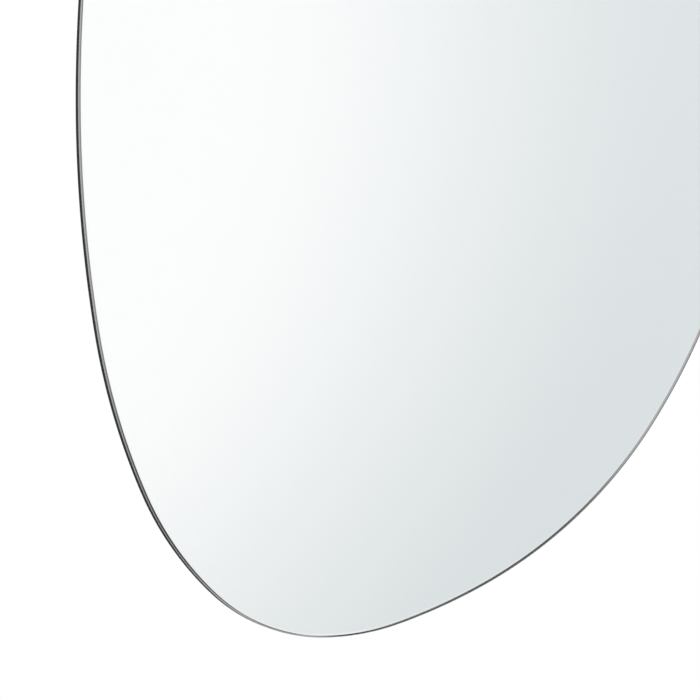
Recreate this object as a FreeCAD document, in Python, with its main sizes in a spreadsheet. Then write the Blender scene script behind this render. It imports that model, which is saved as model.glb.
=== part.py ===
"""Frameless wall mirror with a lopsided pebble outline, as a parametric document.

Millimetres. +Z is up as the mirror hangs, +X is to the right of someone looking into it,
and the mirror looks along -Y. The wall is the plane y = 0, and the origin lies on it behind
the middle of the outline's box. From the front the layers are the glass, its silvering, a
safety film, adhesive tape and a backing board, which carries the hangers and wall bumpers.
"""
import FreeCAD, Part
import math
import os
import Sketcher

SHEET = "Sizes"
SIZES = {
    # outline: its box, and where it touches each side of that box
    "mirror_width": 600.0,
    "mirror_height": 900.0,
    "right_touch_up": 57.0,
    "top_touch_over": 60.0,
    "left_touch_up": 5.0,
    "bottom_touch_over": -89.0,
    # outline: bend radii that are chosen; the first and last arc of each quarter follow
    "right_shoulder_radius": 235.0,
    "left_shoulder_radius": 205.0,
    "left_flank_radius": 571.0,
    "left_heel_radius": 259.0,
    "base_flat_radius": 504.0,
    "right_flank_radius": 409.0,
    # outline: the angle that each of these arcs turns through, in degrees
    "right_side_angle": 24.0,
    "top_right_angle": 28.0,
    "top_left_angle": 24.0,
    "left_side_angle": 10.0,
    "left_waist_angle": 9.3,
    "left_flank_angle": 14.3,
    "left_heel_angle": 23.2,
    "bottom_angle": 18.5,
    "base_flat_angle": 9.1,
    "right_flank_angle": 29.1,
    # layers, from the front
    "glass_thickness": 4.0,
    "front_arris_width": 1.8,
    "front_arris_depth": 1.4,
    "rear_arris": 0.5,
    "silver_thickness": 0.15,
    "silver_margin": 0.9,
    "silver_gap": 0.02,
    "film_thickness": 0.2,
    "film_margin": 1.3,
    "tape_thickness": 0.6,
    "tape_margin": 6.0,
    "tape_width": 12.0,
    "strip_width": 40.0,
    "strip_spacing": 120.0,
    "strip_end_gap": 5.0,
    "board_thickness": 12.0,
    "band_margin": 0.15,
    "band_thickness": 0.6,
    # hangers: a folded strap and a D-shaped ring
    "strap_width": 12.0,
    "strap_length": 42.0,
    "strap_gauge": 1.0,
    "strap_end_radius": 5.0,
    "ring_wire_radius": 1.5,
    "ring_clearance": 0.1,
    "ring_half_width": 9.5,
    "ring_corner_radius": 3.0,
    "ring_leg": 4.0,
    "upright_hanger_drop": 170.0,
    "upright_hanger_spread": 150.0,
    "sideways_hanger_inset": 110.0,
    "sideways_hanger_spread": 170.0,
    "balance_over": -11.0,
    "balance_up": 15.0,
    # countersunk screws
    "first_screw_drop": 13.0,
    "screw_pitch": 18.0,
    "screw_length": 9.0,
    "screw_tip": 2.5,
    "screw_shank_radius": 1.6,
    "screw_head_radius": 3.4,
    "screw_hole_radius": 2.0,
    "recess_arm": 1.9,
    "recess_half_width": 0.45,
    "recess_depth": 1.1,
    # wall bumpers
    "bumper_height": 6.0,
    "bumper_base_radius": 9.0,
    "bumper_face_radius": 7.5,
    "bumper_rounding": 1.0,
    "bumper_inset": 40.0,
}

# The outward direction, in degrees from +X, of the outline where each bumper sits inside it.
BUMPER_ANGLES = {
    "right": 2.0,
    "upper_right": 50.0,
    "top": 98.0,
    "upper_left": 148.0,
    "left": 179.0,
    "lower_left": 200.0,
    "bottom": 265.0,
    "lower_right": 312.0,
}
STRIP_PLACES = {"far_left": -1.5, "left": -0.5, "right": 0.5, "far_right": 1.5}
ARCS_START_AT = 0.0
QUARTER_TURN = 90.0
FULL_TURN = 360.0
UPRIGHT_TURN = 0.0
SIDEWAYS_TURN = -90.0

Vector = FreeCAD.Vector
FACING = Vector(0, -1, 0)


# Names for the points of a sketch's lines and arcs, and for the sketch's own origin.
START, END, CENTRE = 1, 2, 3
ORIGIN = (-1, 1)


# ------------------------------------------------------------------ document and sheet

def make_sheet(doc):
    """Fill the sheet, one row to a size."""
    sheet = doc.addObject("Spreadsheet::Sheet", SHEET)
    for row, (alias, value) in enumerate(SIZES.items(), start=1):
        sheet.set(f"A{row}", alias)
        sheet.set(f"B{row}", str(value))
        sheet.setAlias(f"B{row}", alias)
    doc.recompute()
    return sheet


def bind(thing, expressions):
    """Bind properties, each given by its path, to expressions of size names."""
    for path, text in expressions.items():
        words = [f"{SHEET}.{word}" if word in SIZES else word for word in text.split()]
        thing.setExpression(path, " ".join(words))


def set_depth(thing, text):
    """Place a layer or fitting along Y, its distance in front of the wall being text."""
    bind(thing, {"Placement.Base.y": f"0 - ( {text} )"})


# ------------------------------------------------------------------ sketches

def hold(sketch, constraint, text):
    """Add a constraint and bind it to the sheet."""
    index = sketch.addConstraint(constraint)
    bind(sketch, {f"Constraints[{index}]": text})


def hold_point(sketch, item, end, place, across, up):
    """Fix a point of a sketch's line or arc by its two distances from the origin."""
    hold(sketch, Sketcher.Constraint("DistanceX", *ORIGIN, item, end, place.x), across)
    hold(sketch, Sketcher.Constraint("DistanceY", *ORIGIN, item, end, place.y), up)


def join(sketch, kind, items):
    """Join lines and arcs end to start, all the way round."""
    for one, following in zip(items, items[1:] + items[:1]):
        sketch.addConstraint(Sketcher.Constraint(kind, one, END, following, START))


def arc_edge(centre, radius, first, last):
    """An arc in a sketch's own plane, anticlockwise, its angles in degrees."""
    circle = Part.Circle(centre, Vector(0, 0, 1), radius)
    return Part.ArcOfCircle(circle, math.radians(first), math.radians(last))


def closed_polygon(sketch, points):
    """Straight lines round a list of points, joined and fixed corner by corner.

    Each point is a pair of values and a pair of expressions.
    """
    places = [Vector(*values, 0) for values, _ in points]
    for place, following in zip(places, places[1:] + places[:1]):
        sketch.addGeometry(Part.LineSegment(place, following))
    join(sketch, "Coincident", list(range(len(places))))
    for index, (place, (_, texts)) in enumerate(zip(places, points)):
        hold_point(sketch, index, START, place, *texts)


def body_plane(body, role):
    """One of a body's own origin planes."""
    return next(plane for plane in body.Origin.OriginFeatures if plane.Role == role)


def body_sketch(body, name, role):
    """A sketch on one of its body's origin planes."""
    sketch = body.newObject("Sketcher::SketchObject", name)
    sketch.AttachmentSupport = (body_plane(body, role), [""])
    sketch.MapMode = "FlatFace"
    return sketch


# ------------------------------------------------------------------ outline

def toward(degrees):
    """Unit vector in the plane of the mirror."""
    angle = math.radians(degrees)
    return Vector(math.cos(angle), math.sin(angle), 0)


def quarter_arcs(start, finish, first_angle, turns, radii):
    """Arcs that carry the outline from one touch point to the next, tangent all along.

    turns are the arcs' turns and radii the radii of all but the first and last arc, which
    take the two values that make the quarter end at the finish point.
    """
    angles = [first_angle]
    for turn in turns:
        angles.append(angles[-1] + turn)
    chords = [toward(b) - toward(a) for a, b in zip(angles, angles[1:])]
    left_over = finish - start
    for radius, chord in zip(radii, chords[1:-1]):
        left_over = left_over - chord * radius
    head, tail = chords[0], chords[-1]
    whole = head.x * tail.y - tail.x * head.y
    first = (left_over.x * tail.y - tail.x * left_over.y) / whole
    last = (head.x * left_over.y - head.y * left_over.x) / whole
    arcs = []
    point = start
    for radius, a, b in zip([first, *radii, last], angles, angles[1:]):
        centre = point - toward(a) * radius
        arcs.append((centre, radius, a, b))
        point = centre + toward(b) * radius
    return arcs


def touch_points(size):
    """Where the outline touches its box: right, top, left and bottom."""
    half_width = size("mirror_width") / 2
    half_height = size("mirror_height") / 2
    return [
        Vector(half_width, size("right_touch_up"), 0),
        Vector(size("top_touch_over"), half_height, 0),
        Vector(-half_width, size("left_touch_up"), 0),
        Vector(size("bottom_touch_over"), -half_height, 0),
    ]


# The same four points as expressions, each with how its arc's centre lines up with it.
TOUCHES = [
    ("mirror_width / 2", "right_touch_up", "Horizontal"),
    ("top_touch_over", "mirror_height / 2", "Vertical"),
    ("0 - mirror_width / 2", "left_touch_up", "Horizontal"),
    ("bottom_touch_over", "0 - mirror_height / 2", "Vertical"),
]


# Each quarter's arcs in order, from the right round by the top: the angle's name, or None for
# the arc that takes what is left of the quarter, and the radius's name, or None at the ends.
QUARTERS = [
    [("right_side_angle", None), (None, "right_shoulder_radius"), ("top_right_angle", None)],
    [("top_left_angle", None), (None, "left_shoulder_radius"), ("left_side_angle", None)],
    [("left_waist_angle", None), ("left_flank_angle", "left_flank_radius"),
     ("left_heel_angle", "left_heel_radius"), (None, None)],
    [("bottom_angle", None), ("base_flat_angle", "base_flat_radius"),
     ("right_flank_angle", "right_flank_radius"), (None, None)],
]


def outline_arcs(size):
    """The whole outline as (centre, radius, first angle, last angle), anticlockwise."""
    points = touch_points(size)
    arcs = []
    for index, quarter in enumerate(QUARTERS):
        named = sum(size(turn) for turn, _ in quarter if turn)
        turns = [size(turn) if turn else QUARTER_TURN - named for turn, _ in quarter]
        radii = [size(radius) for _, radius in quarter if radius]
        finish = points[(index + 1) % len(points)]
        first_angle = ARCS_START_AT + index * QUARTER_TURN
        arcs += quarter_arcs(points[index], finish, first_angle, turns, radii)
    return arcs


def outline_point(arcs, direction, inset):
    """The point inset from the outline where its outward direction is as given."""
    for centre, radius, first, last in arcs:
        if first <= direction % FULL_TURN <= last:
            return centre + toward(direction) * (radius - inset)
    raise ValueError(f"no arc of the outline faces {direction} degrees")


def make_outline(doc, size):
    """The outline as one sketch in the XZ plane, fully constrained from the sheet."""
    sketch = doc.addObject("Sketcher::SketchObject", "outline")
    sketch.Placement.Rotation = FreeCAD.Rotation(Vector(1, 0, 0), QUARTER_TURN)
    arcs = outline_arcs(size)
    for arc in arcs:
        sketch.addGeometry(arc_edge(*arc))
    join(sketch, "Tangent", list(range(len(arcs))))
    arc = 0
    for quarter, touch, point in zip(QUARTERS, TOUCHES, touch_points(size)):
        across, up, lined_up = touch
        sketch.addConstraint(Sketcher.Constraint(lined_up, arc, START, arc, CENTRE))
        hold_point(sketch, arc, START, point, across, up)
        for turn, radius in quarter:
            _, value, first, last = arcs[arc]
            if radius:
                hold(sketch, Sketcher.Constraint("Radius", arc, value), radius)
            if turn:
                span = math.radians(last - first)
                hold(sketch, Sketcher.Constraint("Angle", arc, span), turn + " * 1 deg")
            arc += 1
    return sketch


# ------------------------------------------------------------------ flat layers

def inset_outline(doc, outline, name, inset):
    """The outline drawn in by an inset."""
    inner = doc.addObject("Part::Offset2D", name + "_edge")
    inner.Source = outline
    inner.Mode = "Pipe"
    bind(inner, {"Value": f"0 - ( {inset} )"})
    return inner


def slab(doc, base, name, thickness):
    """A slab on a flat outline, reaching towards the viewer from its own back face."""
    plate = doc.addObject("Part::Extrusion", name)
    plate.Base = base
    plate.DirMode = "Custom"
    plate.Dir = FACING
    plate.Solid = True
    bind(plate, {"LengthFwd": thickness})
    return plate


def layer(doc, outline, name, inset, thickness):
    """A slab of the outline drawn in by an inset."""
    return slab(doc, inset_outline(doc, outline, name, inset), name, thickness)


def frame_layer(doc, outline, name, outer, width, thickness):
    """A closed strip that follows the outline."""
    outside = layer(doc, outline, name + "_outside", outer, thickness)
    inside = layer(doc, outline, name + "_inside", f"{outer} + {width}", thickness)
    strip = doc.addObject("Part::Cut", name)
    strip.Base = outside
    strip.Tool = inside
    return strip


BOARD_BACK = "bumper_height"
BOARD_FRONT = BOARD_BACK + " + board_thickness"
TAPE_FRONT = BOARD_FRONT + " + tape_thickness"
FILM_FRONT = TAPE_FRONT + " + film_thickness"
GLASS_BACK = FILM_FRONT + " + silver_thickness + silver_gap"


def edges_at(shape, depth):
    """Numbers of the edges that lie in the plane y = depth."""
    near = 1e-6
    found = []
    for number, edge in enumerate(shape.Edges, start=1):
        box = edge.BoundBox
        if abs(box.YMin - depth) < near and abs(box.YMax - depth) < near:
            found.append(number)
    return found


def make_glass(doc, outline, size):
    """Float glass with a flat polished arris round the front and a fine one behind."""
    blank = slab(doc, outline, "glass_blank", "glass_thickness")
    doc.recompute()
    thickness = size("glass_thickness")
    front = edges_at(blank.Shape, -thickness)
    rear = edges_at(blank.Shape, 0.0)
    glass = doc.addObject("Part::Chamfer", "mirror_glass")
    glass.Base = blank
    depth, width = size("front_arris_depth"), size("front_arris_width")
    glass.Edges = ([(number, depth, width) for number in front]
                   + [(number, size("rear_arris"), size("rear_arris")) for number in rear])
    set_depth(glass, GLASS_BACK)
    return glass


def make_layers(doc, outline, size):
    """Glass, silvering, film, tape and the band round the board."""
    silver = layer(doc, outline, "silver_coating", "silver_margin", "silver_thickness")
    set_depth(silver, FILM_FRONT)
    film = layer(doc, outline, "safety_film", "film_margin", "film_thickness")
    set_depth(film, TAPE_FRONT)
    tape = frame_layer(doc, outline, "perimeter_tape", "tape_margin", "tape_width",
                       "tape_thickness")
    set_depth(tape, BOARD_FRONT)
    band = frame_layer(doc, outline, "board_edge_band", "band_margin", "band_thickness",
                       "board_thickness")
    set_depth(band, BOARD_BACK)
    return [make_glass(doc, outline, size), silver, film, tape, band]


def make_strips(doc, outline):
    """Upright strips of tape, each cut off where it nears the tape round the edge."""
    inset = "tape_margin + tape_width + strip_end_gap"
    strips = []
    for place, steps in STRIP_PLACES.items():
        name = "mounting_strip_" + place
        field = layer(doc, outline, name + "_field", inset, "tape_thickness")
        bar = doc.addObject("Part::Box", name + "_bar")
        bind(bar, {
            "Length": "strip_width",
            "Width": "tape_thickness",
            "Height": "mirror_height",
            "Placement.Base.x": f"{steps} * strip_spacing - strip_width / 2",
            "Placement.Base.y": "0 - tape_thickness",
            "Placement.Base.z": "0 - mirror_height / 2",
        })
        strip = doc.addObject("Part::Common", name)
        strip.Base = bar
        strip.Tool = field
        set_depth(strip, BOARD_FRONT)
        strips.append(strip)
    return strips


def make_board(doc, outline, screws):
    """The backing board, with the holes that its screws cut."""
    blank = layer(doc, outline, "board_blank", "band_margin + band_thickness", "board_thickness")
    set_depth(blank, BOARD_BACK)
    cutters = doc.addObject("Part::Compound", "screw_set")
    cutters.Links = screws
    board = doc.addObject("Part::Cut", "backing_board")
    board.Base = blank
    board.Tool = cutters
    return board


# ------------------------------------------------------------------ hangers
# A hanger's own frame: the origin on the board under the ring's bar, X along the bar,
# Y away from the board and Z the way the ring stands when the mirror hangs from it.

STRAP_HEIGHT = "strap_gauge * 2"
LOOP_BORE = "ring_wire_radius + ring_clearance"
LOOP_RADIUS = LOOP_BORE + " + strap_gauge"


def strap_profile(sketch, size):
    """Side view of the folded strap: two leaves flat on the board and a loop round the bar."""
    gauge, length = size("strap_gauge"), size("strap_length")
    bore = size("ring_wire_radius") + size("ring_clearance")
    radius = bore + gauge
    top = 2 * gauge
    centre = Vector(radius, 0, 0)
    meeting = math.degrees(math.acos((top - radius) / radius))
    meeting_point = centre + toward(-meeting) * radius
    corner, far_corner = Vector(0, -length, 0), Vector(top, -length, 0)
    sketch.addGeometry([
        arc_edge(centre, radius, -meeting, FULL_TURN / 2),
        Part.LineSegment(Vector(0, 0, 0), corner),
        Part.LineSegment(corner, far_corner),
        Part.LineSegment(far_corner, meeting_point),
        Part.Circle(centre, Vector(0, 0, 1), bore),
    ])
    loop, lower, end, upper, hole = range(5)
    join(sketch, "Coincident", [loop, lower, end, upper])
    sketch.addConstraint(Sketcher.Constraint("Coincident", lower, START, *ORIGIN))
    sketch.addConstraint(Sketcher.Constraint("Coincident", hole, CENTRE, loop, CENTRE))
    sketch.addConstraint(Sketcher.Constraint("Vertical", upper))
    sketch.addConstraint(Sketcher.Constraint("Horizontal", loop, CENTRE, *ORIGIN))
    hold(sketch, Sketcher.Constraint("Radius", loop, radius), LOOP_RADIUS)
    hold(sketch, Sketcher.Constraint("Radius", hole, bore), LOOP_BORE)
    hold_point(sketch, end, START, corner, "0", "0 - strap_length")
    hold_point(sketch, end, END, far_corner, STRAP_HEIGHT, "0 - strap_length")


def make_strap(doc, name, size):
    """A folded sheet strap with two countersunk holes and rounded corners at its end."""
    body = doc.addObject("PartDesign::Body", name)
    profile = body_sketch(body, name + "_profile", "YZ_Plane")
    strap_profile(profile, size)
    pad = body.newObject("PartDesign::Pad", name + "_folded")
    pad.Profile = profile
    pad.Midplane = True
    bind(pad, {"Length": "strap_width"})
    hole = body_sketch(body, name + "_hole", "YZ_Plane")
    bind(hole, {"AttachmentOffset.Base.y": "0 - first_screw_drop"})
    head, bore = size("screw_head_radius"), size("screw_hole_radius")
    top = 2 * size("strap_gauge")
    shoulder = top - (head - bore)
    closed_polygon(hole, [
        ((0, 0), ("0", "0")),
        ((top, 0), (STRAP_HEIGHT, "0")),
        ((top, head), (STRAP_HEIGHT, "screw_head_radius")),
        ((shoulder, bore), (STRAP_HEIGHT + " - screw_head_radius + screw_hole_radius",
                            "screw_hole_radius")),
        ((0, bore), ("0", "screw_hole_radius")),
    ])
    groove = body.newObject("PartDesign::Groove", name + "_countersink")
    groove.Profile = hole
    groove.ReferenceAxis = (hole, ["H_Axis"])
    groove.Angle = FULL_TURN
    pattern = body.newObject("PartDesign::LinearPattern", name + "_holes")
    pattern.Originals = [groove]
    pattern.Direction = (profile, ["V_Axis"])
    pattern.Reversed = True
    pattern.Occurrences = 2
    bind(pattern, {"Length": "screw_pitch"})
    body.Tip = pattern
    doc.recompute()
    rounding = body.newObject("PartDesign::Fillet", name + "_corners")
    rounding.Base = (pattern, end_corners(pattern.Shape, -size("strap_length")))
    bind(rounding, {"Radius": "strap_end_radius"})
    body.Tip = rounding
    return body


def end_corners(shape, level):
    """The two edges square to the board at the strap's end."""
    near = 1e-6
    names = []
    for number, edge in enumerate(shape.Edges, start=1):
        box = edge.BoundBox
        upright = box.YLength > near and box.XLength < near and box.ZLength < near
        if upright and abs(box.ZMin - level) < near:
            names.append(f"Edge{number}")
    return names


def ring_path(sketch, size):
    """The D's centre line: bar, two corners, two legs and a half-round bow."""
    half, corner, leg = size("ring_half_width"), size("ring_corner_radius"), size("ring_leg")
    inner, shoulder = half - corner, corner + leg
    half_turn = FULL_TURN / 2
    sketch.addGeometry([
        Part.LineSegment(Vector(-inner, 0, 0), Vector(inner, 0, 0)),
        arc_edge(Vector(inner, corner, 0), corner, -QUARTER_TURN, 0),
        Part.LineSegment(Vector(half, corner, 0), Vector(half, shoulder, 0)),
        arc_edge(Vector(0, shoulder, 0), half, 0, half_turn),
        Part.LineSegment(Vector(-half, shoulder, 0), Vector(-half, corner, 0)),
        arc_edge(Vector(-inner, corner, 0), corner, half_turn, half_turn + QUARTER_TURN),
    ])
    bar, right_corner, right_leg, bow, left_leg, left_corner = range(6)
    join(sketch, "Tangent", [bar, right_corner, right_leg, bow, left_leg, left_corner])
    sketch.addConstraint(Sketcher.Constraint("Horizontal", bar))
    sketch.addConstraint(Sketcher.Constraint("Symmetric", bar, START, bar, END, *ORIGIN))
    sketch.addConstraint(Sketcher.Constraint("Vertical", right_leg))
    sketch.addConstraint(Sketcher.Constraint("Equal", right_corner, left_corner))
    hold(sketch, Sketcher.Constraint("Radius", right_corner, corner), "ring_corner_radius")
    hold(sketch, Sketcher.Constraint("Radius", bow, half), "ring_half_width")
    rise = Sketcher.Constraint("DistanceY", right_leg, START, right_leg, END, leg)
    hold(sketch, rise, "ring_leg")


def make_ring(doc, name, size):
    """A D-shaped ring of round wire whose bar turns in the strap's loop."""
    body = doc.addObject("PartDesign::Body", name)
    path = body_sketch(body, name + "_path", "XZ_Plane")
    ring_path(path, size)
    wire = body_sketch(body, name + "_wire", "YZ_Plane")
    wire.addGeometry(Part.Circle(Vector(0, 0, 0), Vector(0, 0, 1), size("ring_wire_radius")))
    wire.addConstraint(Sketcher.Constraint("Coincident", 0, CENTRE, *ORIGIN))
    hold(wire, Sketcher.Constraint("Radius", 0, size("ring_wire_radius")), "ring_wire_radius")
    doc.recompute()
    pipe = body.newObject("PartDesign::AdditivePipe", name + "_bent_wire")
    pipe.Profile = wire
    pipe.Spine = (path, [f"Edge{number}" for number in range(1, len(path.Shape.Edges) + 1)])
    return body


def cross_outline(arm, half, arm_text, half_text):
    """Twelve corners of a cross, each as values and expressions, clockwise from its top."""
    steps = [(1, 2), (1, 1), (2, 1), (2, -1), (1, -1), (1, -2),
             (-1, -2), (-1, -1), (-2, -1), (-2, 1), (-1, 1), (-1, 2)]
    corners = []
    for across, up in steps:
        values, texts = [], []
        for step in (across, up):
            far = abs(step) == 2
            value = arm if far else half
            text = arm_text if far else half_text
            values.append(math.copysign(value, step))
            texts.append(text if step > 0 else "0 - " + text)
        corners.append((tuple(values), tuple(texts)))
    return corners


def make_screw(doc, name, size):
    """A countersunk screw with a cross recess, its head level with the strap's face."""
    body = doc.addObject("PartDesign::Body", name)
    profile = body_sketch(body, name + "_half", "YZ_Plane")
    top = 2 * size("strap_gauge")
    head, shank = size("screw_head_radius"), size("screw_shank_radius")
    neck = top - (head - shank)
    point = top - size("screw_length")
    neck_text = STRAP_HEIGHT + " - screw_head_radius + screw_shank_radius"
    point_text = STRAP_HEIGHT + " - screw_length"
    closed_polygon(profile, [
        ((point, 0), (point_text, "0")),
        ((top, 0), (STRAP_HEIGHT, "0")),
        ((top, head), (STRAP_HEIGHT, "screw_head_radius")),
        ((neck, shank), (neck_text, "screw_shank_radius")),
        ((point + size("screw_tip"), shank), (point_text + " + screw_tip",
                                              "screw_shank_radius")),
    ])
    turned = body.newObject("PartDesign::Revolution", name + "_turned")
    turned.Profile = profile
    turned.ReferenceAxis = (profile, ["H_Axis"])
    turned.Angle = FULL_TURN
    recess = body_sketch(body, name + "_cross", "XZ_Plane")
    bind(recess, {"AttachmentOffset.Base.z": f"0 - ( {STRAP_HEIGHT} )"})
    closed_polygon(recess, cross_outline(size("recess_arm"), size("recess_half_width"),
                                         "recess_arm", "recess_half_width"))
    pocket = body.newObject("PartDesign::Pocket", name + "_recess")
    pocket.Profile = recess
    pocket.Reversed = True
    bind(pocket, {"Length": "recess_depth"})
    body.Tip = pocket
    return body


def place_hanger(thing, over, up, turn, down="0", out="0"):
    """Place a hanger's piece from the hanger's own frame, which is turned about Y."""
    thing.Placement.Rotation = FreeCAD.Rotation(Vector(0, 1, 0), turn)
    sideways = turn == SIDEWAYS_TURN
    bind(thing, {
        "Placement.Base.x": f"{over} + {down}" if sideways else over,
        "Placement.Base.y": f"{out} - ( {BOARD_BACK} )",
        "Placement.Base.z": up if sideways else f"{up} - ( {down} )",
    })


NEAR_TOP = "mirror_height / 2 - upright_hanger_drop"
NEAR_LEFT = "sideways_hanger_inset - mirror_width / 2"
HANGERS = {
    "top_left": ("balance_over - upright_hanger_spread", NEAR_TOP, UPRIGHT_TURN),
    "top_right": ("balance_over + upright_hanger_spread", NEAR_TOP, UPRIGHT_TURN),
    "side_upper": (NEAR_LEFT, "balance_up + sideways_hanger_spread", SIDEWAYS_TURN),
    "side_lower": (NEAR_LEFT, "balance_up - sideways_hanger_spread", SIDEWAYS_TURN),
}
SCREW_DROPS = {"near": "first_screw_drop", "far": "first_screw_drop + screw_pitch"}


def make_hangers(doc, size):
    """Four hangers: straps, rings and screws, the screws in a list of their own."""
    fittings, screws = [], []
    for place, (over, up, turn) in HANGERS.items():
        strap = make_strap(doc, "hanger_strap_" + place, size)
        place_hanger(strap, over, up, turn)
        ring = make_ring(doc, "hanger_ring_" + place, size)
        place_hanger(ring, over, up, turn, out=LOOP_RADIUS)
        fittings += [strap, ring]
        for seat, drop in SCREW_DROPS.items():
            screw = make_screw(doc, f"hanger_screw_{place}_{seat}", size)
            place_hanger(screw, over, up, turn, down=drop)
            screws.append(screw)
    return fittings, screws


# ------------------------------------------------------------------ bumpers

def make_bumpers(doc, size):
    """Soft pads that keep the board off the wall."""
    arcs = outline_arcs(size)
    bumpers = []
    for place, direction in BUMPER_ANGLES.items():
        cone = doc.addObject("Part::Cone", f"bumper_{place}_cone")
        bind(cone, {
            "Radius1": "bumper_base_radius",
            "Radius2": "bumper_face_radius",
            "Height": "bumper_height",
        })
        doc.recompute()
        rim = rim_edge(cone.Shape, size("bumper_height"))
        bumper = doc.addObject("Part::Fillet", "bumper_" + place)
        bumper.Base = cone
        bumper.Edges = [(rim, size("bumper_rounding"), size("bumper_rounding"))]
        seat = outline_point(arcs, direction, size("bumper_inset"))
        bumper.Placement = FreeCAD.Placement(
            Vector(seat.x, 0, seat.y), FreeCAD.Rotation(Vector(1, 0, 0), -QUARTER_TURN))
        set_depth(bumper, BOARD_BACK)
        bumpers.append(bumper)
    return bumpers


def rim_edge(shape, level):
    """Number of the round edge at a level of an upright cone."""
    near = 1e-6
    for number, edge in enumerate(shape.Edges, start=1):
        box = edge.BoundBox
        if abs(box.ZMin - level) < near and box.ZLength < near:
            return number
    raise ValueError("the cone has no rim at its face")


# ------------------------------------------------------------------ checking and writing

def check(doc, pieces):
    """Stop if any object failed, or any piece is not one sound solid."""
    for thing in doc.Objects:
        if "Invalid" in thing.State or "Error" in thing.State:
            raise RuntimeError(f"{thing.Name} did not compute: {thing.State}")
    for piece in pieces:
        shape = piece.Shape
        if shape.isNull() or not shape.isValid() or len(shape.Solids) != 1:
            raise RuntimeError(f"{piece.Label} is not one sound solid")


def export(pieces):
    """Write each piece to its own file, named by its label."""
    os.makedirs("parts", exist_ok=True)
    for piece in pieces:
        piece.Shape.exportStep(f"parts/{piece.Label}.step")
        print(f"{piece.Label}: {piece.Shape.Volume:.1f} mm3")


def main():
    doc = FreeCAD.newDocument("pebble_mirror")
    sheet = make_sheet(doc)

    def size(name):
        return float(sheet.get(name))

    outline = make_outline(doc, size)
    pieces = make_layers(doc, outline, size)
    pieces += make_strips(doc, outline)
    fittings, screws = make_hangers(doc, size)
    doc.recompute()
    pieces.append(make_board(doc, outline, screws))
    pieces += fittings + screws + make_bumpers(doc, size)
    doc.recompute()
    for piece in pieces:
        piece.Label = piece.Name
    check(doc, pieces)
    export(pieces)


main()
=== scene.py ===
"""Looks for the frameless pebble-shaped wall mirror, laid out as an add-on and run as a script."""

import math

import bmesh
import bpy
from mathutils import Euler, Matrix, Vector


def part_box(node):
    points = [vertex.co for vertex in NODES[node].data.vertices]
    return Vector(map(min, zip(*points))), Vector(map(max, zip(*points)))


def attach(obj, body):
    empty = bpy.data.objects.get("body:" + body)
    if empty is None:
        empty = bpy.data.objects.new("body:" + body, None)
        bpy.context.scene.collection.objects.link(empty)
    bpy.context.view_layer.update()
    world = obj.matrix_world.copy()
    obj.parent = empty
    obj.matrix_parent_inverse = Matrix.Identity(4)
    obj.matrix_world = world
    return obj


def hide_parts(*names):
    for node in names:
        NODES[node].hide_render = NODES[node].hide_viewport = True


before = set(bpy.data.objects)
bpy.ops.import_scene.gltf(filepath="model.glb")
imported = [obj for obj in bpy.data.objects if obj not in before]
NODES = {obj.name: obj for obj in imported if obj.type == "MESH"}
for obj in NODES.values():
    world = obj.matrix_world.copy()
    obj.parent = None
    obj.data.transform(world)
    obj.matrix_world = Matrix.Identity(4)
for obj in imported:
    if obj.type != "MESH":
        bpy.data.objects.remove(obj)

bl_info = {
    "name": "Pebble Wall Mirror",
    "version": (1, 0, 0),
    "blender": (4, 5, 0),
    "location": "3D View > Sidebar > Mirror",
    "description": "Dresses a frameless wall mirror: glass, backing, hangers and wall bumpers",
    "category": "Object",
}

MIRROR_BODY = "mirror"
HANGER_PLACES = ("top_left", "top_right", "side_upper", "side_lower")
SCREW_SEATS = ("near", "far")
BUMPER_PLACES = (
    "right", "upper_right", "top", "upper_left", "left", "lower_left", "bottom", "lower_right",
)
STRIP_PLACES = ("far_left", "left", "right", "far_right")
MM = 0.001
QUARTER = math.radians(90)
TOWARD_WALL = Vector((0, 1, 0))
HUB_RADIUS = 1.0 * MM
WELD = 0.002 * MM
TURN = "turn"
GROUND = "ground"


# ---------------------------------------------------------------- node graphs

class Level:
    """A number that a graph works out. Each operator adds one Math node."""

    def __init__(self, graph, socket):
        self.graph = graph
        self.socket = socket

    def __add__(self, other):
        return self.graph.math("ADD", self, other)

    def __sub__(self, other):
        return self.graph.math("SUBTRACT", self, other)

    def __mul__(self, other):
        return self.graph.math("MULTIPLY", self, other)

    def __radd__(self, other):
        return self.graph.math("ADD", other, self)

    def __rsub__(self, other):
        return self.graph.math("SUBTRACT", other, self)

    def __rmul__(self, other):
        return self.graph.math("MULTIPLY", other, self)

    def __neg__(self):
        return self.graph.math("MULTIPLY", self, -1.0)


# a colour Mix node's sockets, which share their names with those for numbers and vectors
MIX_FIRST, MIX_SECOND, MIX_RESULT = 6, 7, 2


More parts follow.
